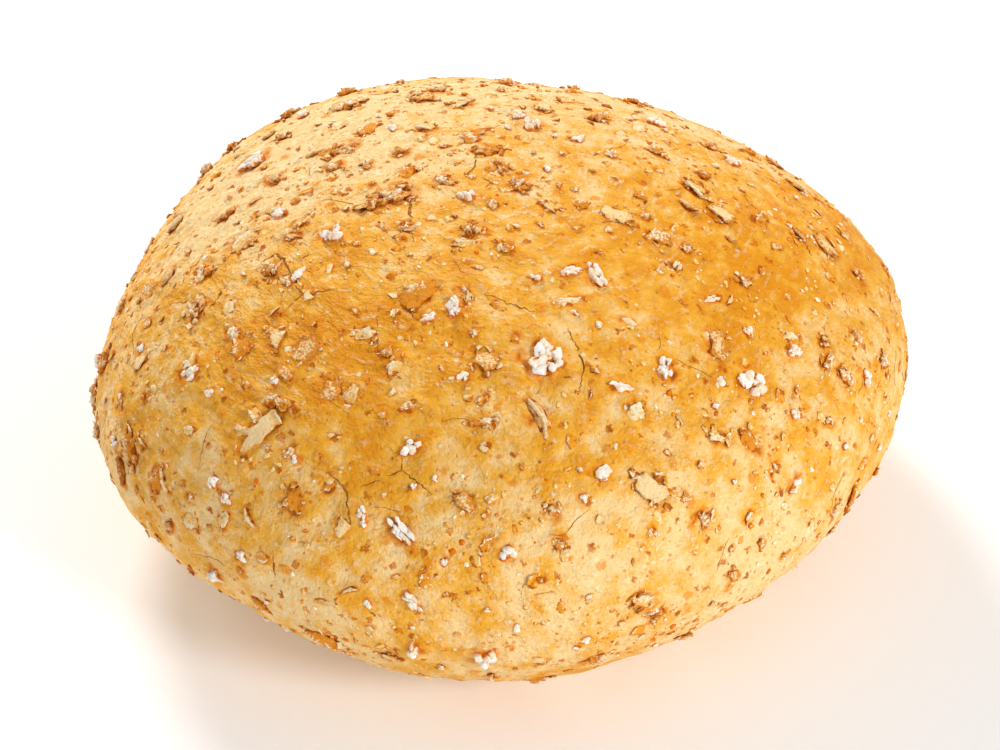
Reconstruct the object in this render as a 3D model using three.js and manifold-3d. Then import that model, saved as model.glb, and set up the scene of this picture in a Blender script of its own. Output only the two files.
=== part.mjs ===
// A round bread roll with bran, cracked grain and popped grain baked into its crust.
// Millimetres, +Z up. The roll rests on its flat base, which lies on z = 0.
import * as THREE from 'three';
import { mergeVertices } from 'three/addons/utils/BufferGeometryUtils.js';
import Module from 'manifold-3d';

// Driving dimensions of the bun
const WIDTH = 109; // across the widest level
const HEIGHT = 52; // base to crown
const BELT = 19; // height of the widest level
const CROWN_ROUNDNESS = 2.1; // exponent of the arc from belt to crown, where 2 is an ellipse
const UNDER_ROUNDNESS = 1.9; // exponent of the arc that tucks in from belt to base
const BASE_SHARE = 0.68; // the flat base's width as a share of WIDTH
const CROWN_LEAN = new THREE.Vector2(3.5, -3); // how far the crown has sagged sideways
const CENTRE = new THREE.Vector2(-1.65, 0.65); // brings the middle of the roll's box over the origin
const SWELLS = [
  // the outline seen from above isn't a circle: it swells towards these bearings
  { lobes: 2, share: 0.019, bearing: 131 },
  { lobes: 3, share: 0.026, bearing: 123 },
  { lobes: 4, share: 0.022, bearing: 15 },
];
const WAVES = 7; // soft unevenness of the baked dough
const WAVE_HEIGHT = 0.16; // of each wave
const WAVE_LENGTH = [15, 42]; // shortest and longest
const WAVE_FADE = 8; // the unevenness dies out over this height above the base
const DENTS = [
  // where the dough sank in or, with a height over 0, bulged out, and how far that reaches
  { bearing: 102, tilt: 40, reach: 20, height: -1.4 },
  { bearing: 168, tilt: 8, reach: 20, height: -1.3 },
  { bearing: 20, tilt: 20, reach: 18, height: -0.9 },
  { bearing: 295, tilt: -19, reach: 18, height: -0.75 },
  { bearing: 258, tilt: -25, reach: 18, height: 0.6 },
];
const BUN_DETAIL = 11; // cuts along each edge of the icosahedron that the bun starts from
const SLOPE_STEP = 0.02; // turn, in radians, over which the bun's slope is measured

// Driving dimensions of the pieces in the crust
const SCATTER_COUNT = 620; // pieces of every size that are spread over the crust
const SCATTER_LENGTH = [1.1, 4.0]; // shortest and longest
const SCATTER_FALL = 2.6; // how much rarer long pieces are than short ones
const SCATTER_LOWEST = -26; // tilt of the lowest pieces
const SCATTER_JITTER = 1.7; // how far a piece strays from its even place
const SCATTER_SLIMNESS = [0.8, 1.2]; // how a piece's width varies from its kind's
const CROWDING = 0.5; // share of two pieces' lengths that stays free between their middles
const SHORTEST_SOLID = 2.9; // shorter pieces are texture, not form
const CLUSTER_LENGTH = 3.4; // popped grain longer than this is a cluster of lobes
const CLUSTER_LOBES = 3;
const LOBE_SIZE = [0.56, 0.66]; // smallest and largest lobe, as shares of the cluster
const LOBE_HEIGHT = [0.7, 1]; // lowest and highest lobe, as shares of the cluster's height
const ROUGHNESS = 0.14; // share by which a piece's corners move in or out

// The kinds of pieces: width and height as shares of the length, and how high the middle stands
// over the crust as a share of the height
const KINDS = {
  flake: { share: 0.3, width: 0.66, height: 0.34, rise: 0.06, bend: 0.5 },
  chunk: { share: 0.34, width: 0.74, height: 0.5, rise: 0.02, bend: 0 },
  kernel: { share: 0.1, width: 0.4, height: 0.32, rise: 0.02, bend: 0.1 },
  oat: { share: 0.12, width: 0.72, height: 0.2, rise: 0.08, bend: 0.3 },
  popped: { share: 0.14, width: 0.76, height: 0.56, rise: 0.1, bend: 0 },
};

// Pieces that stand out: kind, bearing, tilt, turn from +X, length, width, height
const LANDMARKS = [
  // popped white grain
  ['popped', 278, 56, 80, 6.0, 5.2, 1.7],
  ['popped', 291, 70, 10, 3.6, 2.0, 1.1],
  ['popped', 299, 68, 108, 5.2, 2.5, 1.5],
  ['popped', 278, 70, 0, 2.0, 1.6, 0.9],
  ['popped', 292, 49, 178, 4.0, 1.7, 0.8],
  ['popped', 317, 39, 70, 5.0, 4.6, 1.7],
  ['popped', 255, 39, 20, 3.1, 2.7, 1.0],
  ['popped', 285, 35, 60, 2.8, 2.6, 1.2],
  ['popped', 282, 31, 100, 1.7, 1.5, 0.8],
  ['popped', 251, 25, 110, 3.2, 1.7, 1.0],
  ['popped', 257, 24, 128, 5.6, 2.4, 1.3],
  ['popped', 235, 8, 150, 2.3, 1.9, 1.0],
  ['popped', 230, 18, 130, 2.6, 1.6, 0.9],
  ['popped', 260, 10, 140, 4.0, 2.0, 1.2],
  ['popped', 324, 55, 20, 3.0, 1.4, 0.9],
  ['popped', 87, 74, 0, 2.8, 2.3, 1.2],
  ['popped', 47, 77, 30, 2.4, 2.2, 1.0],
  ['popped', 45, 58, 150, 4.0, 2.6, 1.3],
  ['popped', 24, 54, 160, 3.6, 2.4, 1.2],
  ['popped', 321, 29, 90, 2.0, 1.6, 1.0],
  ['popped', 316, 16, 40, 2.8, 1.9, 1.1],
  ['popped', 338, 23, 100, 2.8, 2.0, 1.2],
  ['popped', 211, 33, 160, 3.8, 3.2, 1.2],
  ['popped', 209, 57, 60, 2.8, 1.8, 1.0],
  ['popped', 156, 47, 25, 5.8, 4.0, 1.4],
  ['popped', 182, 57, 170, 3.2, 2.2, 1.1],
  // crumpled clumps of bran and cracked grain
  ['chunk', 192, 74, 20, 6.0, 4.2, 1.5],
  ['chunk', 130, 53, 25, 5.0, 3.4, 1.6],
  ['chunk', 154, 64, 10, 4.6, 3.4, 1.2],
  ['chunk', 120, 84, 0, 4.0, 2.8, 0.9],
  ['chunk', 121, 42, 0, 3.6, 2.6, 2.2],
  ['chunk', 149, 29, 60, 3.4, 2.6, 2.4],
  ['chunk', 131, 36, 35, 4.2, 2.6, 1.8],
  ['chunk', 109, 58, 170, 3.8, 2.4, 1.5],
  ['chunk', 90, 50, 0, 3.0, 2.3, 1.9],
  ['chunk', 75, 43, 0, 2.9, 2.1, 1.8],
  ['chunk', 32, 43, 150, 2.9, 2.1, 1.6],
  ['chunk', 191, 5, 80, 4.0, 2.6, 1.9],
  ['chunk', 197, 3, 70, 3.6, 2.4, 1.7],
  ['chunk', 181, 20, 60, 3.2, 2.2, 1.4],
  ['chunk', 252, 46, 175, 2.9, 1.5, 0.8],
  ['chunk', 266, 45, 10, 3.6, 2.0, 0.9],
  ['chunk', 336, 35, 150, 2.6, 1.9, 1.1],
  ['chunk', 334, 27, 130, 3.6, 2.4, 1.3],
  ['chunk', 335, 53, 150, 3.2, 2.0, 1.0],
  // curled bran flakes
  ['flake', 141, 65, 55, 3.9, 2.2, 1.1],
  ['flake', 130, 73, 160, 3.0, 2.2, 1.0],
  ['flake', 170, 76, 50, 3.2, 2.0, 0.8],
  ['flake', 118, 52, 10, 3.2, 2.0, 1.3],
  ['flake', 59, 47, 160, 3.8, 2.2, 1.3],
  ['flake', 4, 66, 130, 4.4, 2.4, 1.2],
  ['flake', 25, 69, 150, 3.2, 2.2, 1.0],
  ['flake', 306, 34, 170, 3.4, 1.8, 0.9],
  ['flake', 19, 40, 145, 4.6, 2.6, 1.4],
  ['flake', 293, 44, 10, 2.6, 2.6, 0.6],
  ['flake', 248, -7, 165, 5.0, 2.2, 1.3],
  ['flake', 238, -5, 145, 2.4, 1.8, 1.0],
  ['flake', 330, 0, 60, 3.8, 2.0, 1.4],
  // long kernels
  ['kernel', 276, 46, 115, 6.0, 2.2, 1.3],
  ['kernel', 169, 34, 45, 3.4, 1.7, 1.3],
  ['kernel', 175, 47, 40, 3.6, 1.6, 1.1],
  ['kernel', 186, 36, 60, 3.2, 1.8, 1.1],
  ['kernel', 209, 6, 115, 4.2, 1.8, 1.4],
  // smooth pale flakes
  ['oat', 230, 32, 45, 7.2, 3.0, 1.0],
  ['oat', 237, 44, 60, 3.4, 3.0, 0.7],
  ['oat', 241, 45, 50, 2.8, 2.2, 0.6],
  ['oat', 265, 56, 150, 3.4, 3.2, 0.6],
  ['oat', 265, 31, 125, 2.9, 2.0, 0.7],
  ['oat', 316, 48, 100, 4.6, 3.0, 1.0],
  ['oat', 332, 75, 170, 4.4, 3.4, 0.8],
  ['oat', 354, 62, 160, 4.2, 2.8, 0.8],
  ['oat', 292, 30, 150, 5.0, 2.9, 0.8],
];

const PLACING_SEED = 2029;
const SHAPING_SEED = 90733;
const WAVE_SEED = 517;
const SEED_FACTOR = 16807; // of the Park-Miller generator
const SEED_LIMIT = 2147483647;

// A seeded row of numbers between 0 and 1
function makeDraw(seed) {
  let state = seed;
  return () => {
    state = (state * SEED_FACTOR) % SEED_LIMIT;
    return state / SEED_LIMIT;
  };
}

function between([low, high], share) {
  return low + (high - low) * share;
}

function radians(degrees) {
  return THREE.MathUtils.degToRad(degrees);
}

// The direction of a bearing round the roll and a tilt over the belt, both in degrees
function direction(bearing, tilt) {
  const flat = Math.cos(radians(tilt));
  return new THREE.Vector3(
    flat * Math.cos(radians(bearing)),
    flat * Math.sin(radians(bearing)),
    Math.sin(radians(tilt)),
  );
}

// The bun without its unevenness: a superellipse over the belt, another under it, cut off at the base
function smoothBun(way) {
  const bearing = Math.atan2(way.y, way.x);
  const outward = Math.hypot(way.x, way.y);
  const upward = Math.abs(way.z);
  let reach = WIDTH / 2;
  for (const swell of SWELLS) {
    reach += (WIDTH / 2) * swell.share * Math.cos(swell.lobes * (bearing - radians(swell.bearing)));
  }
  const roundness = way.z >= 0 ? CROWN_ROUNDNESS : UNDER_ROUNDNESS;
  const radius = reach * outward ** (2 / roundness);
  const cutDepth = (1 - BASE_SHARE ** UNDER_ROUNDNESS) ** (1 / UNDER_ROUNDNESS);
  const rise = way.z >= 0 ? HEIGHT - BELT : -BELT / cutDepth;
  const z = Math.max(BELT + rise * upward ** (2 / roundness), 0);
  const lean = (z / HEIGHT) ** 2;
  return new THREE.Vector3(
    radius * Math.cos(bearing) + CROWN_LEAN.x * lean + CENTRE.x,
    radius * Math.sin(bearing) + CROWN_LEAN.y * lean + CENTRE.y,
    z,
  );
}

// The outward normal of the smooth bun, from two short steps across it
function bunNormal(way) {
  const side = new THREE.Vector3(0, 0, 1);
  if (Math.abs(way.z) > 0.9) side.set(1, 0, 0);
  const east = side.clone().cross(way).normalize().multiplyScalar(SLOPE_STEP);
  const north = way.clone().cross(east).normalize().multiplyScalar(SLOPE_STEP);
  const slopes = [east, north].map((offset) => {
    const ahead = smoothBun(way.clone().add(offset).normalize());
    const behind = smoothBun(way.clone().sub(offset).normalize());
    return ahead.sub(behind);
  });
  return slopes[0].cross(slopes[1]).normalize();
}

// Soft swellings and hollows, as a sum of long waves that run in seeded directions
function makeWaves() {
  const draw = makeDraw(WAVE_SEED);
  const waves = [];
  for (let index = 0; index < WAVES; index += 1) {
    const heading = direction(360 * draw(), 180 * draw() - 90);
    const length = between(WAVE_LENGTH, draw());
    waves.push({ heading: heading.multiplyScalar((2 * Math.PI) / length), phase: 2 * Math.PI * draw() });
  }
  return waves;
}

const waves = makeWaves();
const dents = DENTS.map((dent) => ({ ...dent, middle: smoothBun(direction(dent.bearing, dent.tilt)) }));

// The crust's surface in one direction
function crust(way) {
  const point = smoothBun(way);
  const fade = Math.min(point.z / WAVE_FADE, 1);
  let swell = 0;
  for (const wave of waves) swell += WAVE_HEIGHT * Math.sin(wave.heading.dot(point) + wave.phase);
  for (const dent of dents) {
    swell += dent.height * Math.exp(-((point.distanceTo(dent.middle) / dent.reach) ** 2));
  }
  return point.addScaledVector(bunNormal(way), swell * fade);
}

// The tilts from the crown down, and the share of the crust that lies above each
function makeSpread() {
  const steps = [];
  let area = 0;
  for (let tilt = 90; tilt > SCATTER_LOWEST; tilt -= 1) {
    const upper = smoothBun(direction(0, tilt));
    const lower = smoothBun(direction(0, tilt - 1));
    const radius = Math.hypot((upper.x + lower.x) / 2 - CENTRE.x, (upper.y + lower.y) / 2);
    area += radius * upper.distanceTo(lower);
    steps.push({ tilt: tilt - 0.5, area });
  }
  return steps.map((step) => ({ tilt: step.tilt, share: step.area / area }));
}

// Every piece in the crust, as kind, direction, turn and size: the landmarks first, then an even
// spiral of scattered ones, each a little off its place
function placePieces() {
  const draw = makeDraw(PLACING_SEED);
  const pieces = LANDMARKS.map(([kind, bearing, tilt, turn, length, width, height]) => {
    const way = direction(bearing, tilt);
    return { kind, way, point: smoothBun(way), turn, length, width, height };
  });
  const marked = pieces.length;
  const spread = makeSpread();
  const goldenAngle = 180 * (3 - Math.sqrt(5));
  for (let index = 0; index < SCATTER_COUNT; index += 1) {
    const share = (index + 0.5) / SCATTER_COUNT;
    const { tilt } = spread.find((step) => step.share >= share);
    const stray = (2 * SCATTER_JITTER) / WIDTH;
    const way = direction(goldenAngle * index, tilt);
    way.add(new THREE.Vector3(draw() - 0.5, draw() - 0.5, draw() - 0.5).multiplyScalar(2 * stray));
    way.normalize();
    const pick = draw();
    const length = between(SCATTER_LENGTH, draw() ** SCATTER_FALL);
    const turn = 360 * draw();
    const slim = between(SCATTER_SLIMNESS, draw());
    let sum = 0;
    const kind = Object.keys(KINDS).find((name) => {
      sum += KINDS[name].share;
      return pick <= sum;
    }) ?? 'popped';
    const point = smoothBun(way);
    const crowded = pieces.slice(0, marked).some((mark) => (
      mark.point.distanceTo(point) < (mark.length + length) * CROWDING
    ));
    if (crowded) continue;
    const width = length * KINDS[kind].width * slim;
    const height = length * KINDS[kind].height;
    pieces.push({ kind, way, point, turn, length, width, height });
  }
  return pieces;
}

// One rough lump: an icosahedron stretched to the size, with its corners moved and its ends bent down
function makeLump(length, width, height, bend, draw) {
  const lump = new THREE.IcosahedronGeometry(1, 0);
  lump.deleteAttribute('normal');
  lump.deleteAttribute('uv');
  const shape = mergeVertices(lump);
  const corners = shape.attributes.position;
  for (let index = 0; index < corners.count; index += 1) {
    const rough = 1 + ROUGHNESS * (2 * draw() - 1);
    const x = corners.getX(index) * rough;
    const y = corners.getY(index) * rough;
    const z = corners.getZ(index) * rough - bend * x * x;
    corners.setXYZ(index, (x * length) / 2, (y * width) / 2, (z * height) / 2);
  }
  return shape;
}

// The lumps of one piece: a ring of lobes for a popped cluster, else a single lump
function makeLumps(piece, draw) {
  const kind = KINDS[piece.kind];
  const { length, width, height } = piece;
  if (piece.kind !== 'popped' || length < CLUSTER_LENGTH) {
    return [makeLump(length, width, height, kind.bend, draw)];
  }
  const lumps = [];
  for (let index = 0; index < CLUSTER_LOBES; index += 1) {
    const turn = (2 * Math.PI * (index + 0.5 * draw())) / CLUSTER_LOBES;
    const size = between(LOBE_SIZE, draw());
    const tall = height * between(LOBE_HEIGHT, draw());
    const lobe = makeLump(length * size, width * size, tall, 0, draw);
    lobe.translate((Math.cos(turn) * length * (1 - size)) / 2, (Math.sin(turn) * width * (1 - size)) / 2, 0);
    lumps.push(lobe);
  }
  return lumps;
}

// The place of a piece: its middle a little over the crust, X along its length, Z out of the crust
function standing(piece) {
  const out = bunNormal(piece.way);
  const along = new THREE.Vector3(1, 0, 0);
  along.addScaledVector(out, -along.dot(out)).normalize();
  along.applyAxisAngle(out, radians(piece.turn));
  const across = out.clone().cross(along);
  const place = crust(piece.way).addScaledVector(out, piece.height * KINDS[piece.kind].rise);
  return new THREE.Matrix4().makeBasis(along, across, out).setPosition(place);
}

// The bare bun as an even net of triangles
function makeBun() {
  const net = new THREE.IcosahedronGeometry(1, BUN_DETAIL);
  net.deleteAttribute('normal');
  net.deleteAttribute('uv');
  const bun = mergeVertices(net);
  const corners = bun.attributes.position;
  for (let index = 0; index < corners.count; index += 1) {
    const way = new THREE.Vector3().fromBufferAttribute(corners, index).normalize();
    const point = crust(way);
    corners.setXYZ(index, point.x, point.y, point.z);
  }
  return bun;
}

const wasm = await Module();
wasm.setup();

function toSolid(geometry) {
  return new wasm.Manifold(new wasm.Mesh({
    numProp: 3,
    vertProperties: Float32Array.from(geometry.attributes.position.array),
    triVerts: Uint32Array.from(geometry.index.array),
  }));
}

// The largest shell of a solid, without the sealed pockets that joining leaves between lumps
function outerShell(solid) {
  const shells = solid.decompose();
  return shells.reduce((largest, shell) => (shell.volume() > largest.volume() ? shell : largest));
}

function toGeometry(solid) {
  const mesh = solid.getMesh();
  const geometry = new THREE.BufferGeometry();
  geometry.setAttribute('position', new THREE.BufferAttribute(mesh.vertProperties, 3));
  geometry.setIndex(new THREE.BufferAttribute(mesh.triVerts, 1));
  geometry.computeVertexNormals();
  return geometry;
}

// The bun with its larger pieces joined on
function makeRoll() {
  const draw = makeDraw(SHAPING_SEED);
  let roll = toSolid(makeBun());
  for (const piece of placePieces()) {
    if (piece.length < SHORTEST_SOLID) continue;
    const place = standing(piece);
    for (const lump of makeLumps(piece, draw)) {
      roll = roll.add(toSolid(lump.applyMatrix4(place)));
    }
  }
  return toGeometry(outerShell(roll));
}

const crustMaterial = new THREE.MeshStandardMaterial({ color: 0xe3a658, roughness: 0.72, metalness: 0 });

const roll = new THREE.Mesh(makeRoll(), crustMaterial);
roll.name = 'roll';

const group = new THREE.Group();
group.add(roll);

export default group;
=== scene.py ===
# %% [markdown]
# # A wholegrain bread roll
# A roll like this is dough that was rolled in bran, cracked grain and popped grain before baking.
# The oven sets the crust, browns the bran, and leaves the popped grain white.
# This lesson builds it in the same order: the form of the bun, its crust, the pieces that are
# baked into it, its colours, and the light of a small studio.

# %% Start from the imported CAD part
import math

import bmesh
import bpy
import numpy as np
from mathutils import Euler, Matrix, Vector, kdtree, noise
from mathutils.bvhtree import BVHTree


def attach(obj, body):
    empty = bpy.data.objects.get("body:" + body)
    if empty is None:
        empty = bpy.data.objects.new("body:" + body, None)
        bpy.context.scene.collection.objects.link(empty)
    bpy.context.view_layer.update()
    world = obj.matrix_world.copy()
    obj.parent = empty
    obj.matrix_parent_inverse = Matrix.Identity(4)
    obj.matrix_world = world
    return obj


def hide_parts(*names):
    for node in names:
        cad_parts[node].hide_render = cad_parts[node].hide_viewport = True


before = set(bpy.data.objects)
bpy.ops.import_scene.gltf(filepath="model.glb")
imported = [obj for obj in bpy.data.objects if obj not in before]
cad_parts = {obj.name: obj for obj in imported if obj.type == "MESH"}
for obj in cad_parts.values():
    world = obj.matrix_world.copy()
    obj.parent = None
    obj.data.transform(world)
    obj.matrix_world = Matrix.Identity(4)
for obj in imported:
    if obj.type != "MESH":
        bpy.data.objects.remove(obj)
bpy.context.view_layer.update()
print("CAD nodes:", sorted(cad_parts))

# %% [markdown]
# ## The driving sizes
# The CAD part was worked out from a few sizes. The looks have to lie on the same form, so the
# same sizes stand here, once, in metres. Everything below is worked out from them.

# %% Sizes of the bun and of its unevenness
MM = 0.001
WIDTH = 109 * MM
HEIGHT = 52 * MM
BELT = 19 * MM
CROWN_ROUNDNESS = 2.1
UNDER_ROUNDNESS = 1.9
BASE_SHARE = 0.68
CROWN_LEAN = np.array((3.5, -3.0)) * MM
CENTRE = np.array((-1.65, 0.65)) * MM
SWELLS = ((2, 0.019, 131), (3, 0.026, 123), (4, 0.022, 15))
WAVES = 7
WAVE_HEIGHT = 0.16 * MM
WAVE_LENGTH = (15 * MM, 42 * MM)
WAVE_FADE = 8 * MM
SLOPE_STEP = 0.02
# where the dough sank in or, with a height over 0, bulged out: bearing, tilt, reach, height
DENTS = (
    (102, 40, 20 * MM, -1.4 * MM),
    (168, 8, 20 * MM, -1.3 * MM),
    (20, 20, 18 * MM, -0.9 * MM),
    (295, -19, 18 * MM, -0.75 * MM),
    (258, -25, 18 * MM, 0.6 * MM),
)

# %% Sizes of the pieces in the crust
SCATTER_COUNT = 620
SCATTER_LENGTH = (1.1 * MM, 4.0 * MM)
SCATTER_FALL = 2.6
SCATTER_LOWEST = -26
SCATTER_JITTER = 1.7 * MM
SCATTER_SLIMNESS = (0.8, 1.2)
CROWDING = 0.5
# share of all pieces, then width and height as shares of the length, then how high the middle
# stands over the crust as a share of the height
KINDS = {
    "flake": (0.3, 0.66, 0.34, 0.06),
    "chunk": (0.34, 0.74, 0.5, 0.02),
    "kernel": (0.1, 0.4, 0.32, 0.02),
    "oat": (0.12, 0.72, 0.2, 0.08),
    "popped": (0.14, 0.76, 0.56, 0.1),
}

# %% [markdown]
# ## Numbers by chance, the same on every run
# Chance makes bread look like bread, but a script that is run twice has to give the same roll.
# A seeded generator does both. This simple one draws the same numbers in any language, so the
# CAD source and this script can place the same pieces.

# %% Seeded numbers
PLACING_SEED = 2029
WAVE_SEED = 517
SEED_FACTOR = 16807
SEED_LIMIT = 2147483647


def make_draw(seed):
    """A function that gives the next seeded number between 0 and 1."""
    state = [seed]

    def draw():
        state[0] = state[0] * SEED_FACTOR % SEED_LIMIT
        return state[0] / SEED_LIMIT

    return draw


def between(span, share):
    return span[0] + (span[1] - span[0]) * share


# %% [markdown]
# ## The form of the bun
# Proof dough sags: it is widest low down, domed above and tucked in below. Two superellipses
# that meet at the widest level draw that section, and a few swells keep the outline from being
# a circle. Each formula works on a whole array of directions at once, which is what makes
# numpy fast.

# %% From a direction to a point on the bun
def direction(bearing, tilt):
    """The direction of a bearing round the roll and a tilt over the widest level, in degrees."""
    turn = np.radians(bearing)
    lift = np.radians(tilt)
    return np.stack([np.cos(lift) * np.cos(turn), np.cos(lift) * np.sin(turn), np.sin(lift)], -1)


def unit(vectors):
    return vectors / np.linalg.norm(vectors, axis=-1, keepdims=True)


def bell(values, middle, breadth):
    """1 at the middle and less to both sides, with almost nothing left at twice the breadth."""
    return np.exp(-(((values - middle) / breadth) ** 2))


def smooth_bun(ways):
    """The points of the smooth bun that lie in these directions."""
    bearing = np.arctan2(ways[:, 1], ways[:, 0])
    outward = np.hypot(ways[:, 0], ways[:, 1])
    reach = np.full(len(ways), WIDTH / 2)
    for lobes, share, towards in SWELLS:
        reach += WIDTH / 2 * share * np.cos(lobes * (bearing - math.radians(towards)))
    crown = ways[:, 2] >= 0
    power = np.where(crown, 2 / CROWN_ROUNDNESS, 2 / UNDER_ROUNDNESS)
    cut_depth = (1 - BASE_SHARE**UNDER_ROUNDNESS) ** (1 / UNDER_ROUNDNESS)
    rise = np.where(crown, HEIGHT - BELT, -BELT / cut_depth)
    z = np.maximum(BELT + rise * np.abs(ways[:, 2]) ** power, 0)
    radius = reach * outward**power
    lean = (z / HEIGHT) ** 2
    x = radius * np.cos(bearing) + CROWN_LEAN[0] * lean + CENTRE[0]
    y = radius * np.sin(bearing) + CROWN_LEAN[1] * lean + CENTRE[1]
    return np.stack([x, y, z], -1)


def bun_normal(ways):
    """The way out of the smooth bun, from two short steps across it."""
    side = np.where(np.abs(ways[:, 2:]) > 0.9, (1.0, 0.0, 0.0), (0.0, 0.0, 1.0))
    east = unit(np.cross(side, ways)) * SLOPE_STEP
    north = unit(np.cross(ways, east)) * SLOPE_STEP
    slopes = [smooth_bun(unit(ways + step)) - smooth_bun(unit(ways - step)) for step in (east, north)]
    return unit(np.cross(slopes[0], slopes[1]))


# %% The soft swellings and hollows of the dough
def make_waves():
    """Long waves in seeded directions, as heading and phase."""
    draw = make_draw(WAVE_SEED)
    waves = []
    for _ in range(WAVES):
        bearing = 360 * draw()
        heading = direction(bearing, 180 * draw() - 90)
        length = between(WAVE_LENGTH, draw())
        waves.append((heading * 2 * math.pi / length, 2 * math.pi * draw()))
    return waves


def crust_points(ways):
    """The crust's points in these directions, with the dough's unevenness."""
    points = smooth_bun(ways)
    fade = np.minimum(points[:, 2] / WAVE_FADE, 1)
    swell = sum(WAVE_HEIGHT * np.sin(points @ heading + phase) for heading, phase in make_waves())
    for bearing, tilt, reach, height in DENTS:
        middle = smooth_bun(direction(bearing, tilt)[None])[0]
        swell += height * bell(np.linalg.norm(points - middle, axis=1), 0, reach)
    return points + bun_normal(ways) * (swell * fade)[:, None]


# %% [markdown]
# ## A camera where the photographer stood
# The photo was taken from the front and well above the roll. With the camera fixed first, a
# place in the picture can be turned into a place on the crust: a ray through that pixel hits it.

# %% Camera
PICTURE = (1000, 750)
SENSOR = 36
LENS = 100
CAMERA_TILT = math.radians(38)
CAMERA_DISTANCE = 380.5 * MM
CAMERA_AIM = np.array((0.06, 0.65, 17.41)) * MM
forward = np.array((0, math.cos(CAMERA_TILT), -math.sin(CAMERA_TILT)))
upward = np.array((0, math.sin(CAMERA_TILT), math.cos(CAMERA_TILT)))
camera_place = CAMERA_AIM - forward * CAMERA_DISTANCE

camera = bpy.data.objects.new("camera", bpy.data.cameras.new("camera"))
bpy.context.scene.collection.objects.link(camera)
camera.data.lens = LENS
camera.data.sensor_width = SENSOR
camera.data.clip_start = 10 * MM
camera.location = camera_place
camera.rotation_euler = Euler((math.pi / 2 - CAMERA_TILT, 0, 0))
bpy.context.scene.camera = camera


def pixel_ray(x, y):
    """The direction from the camera through one pixel of the picture."""
    spread = SENSOR / LENS / PICTURE[0]
    sideways = np.array((1, 0, 0)) * (x - PICTURE[0] / 2) * spread
    return unit(forward + sideways + upward * (PICTURE[1] / 2 - y) * spread)


# %% [markdown]
# ## Where the pieces lie
# The pieces that stand out in the photo are named one by one, with their bearing round the roll,
# their tilt over the widest level, their turn and their size in millimetres. The many small
# ones follow an even spiral, each pushed a little off its place, as sprinkled grain falls.

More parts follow.
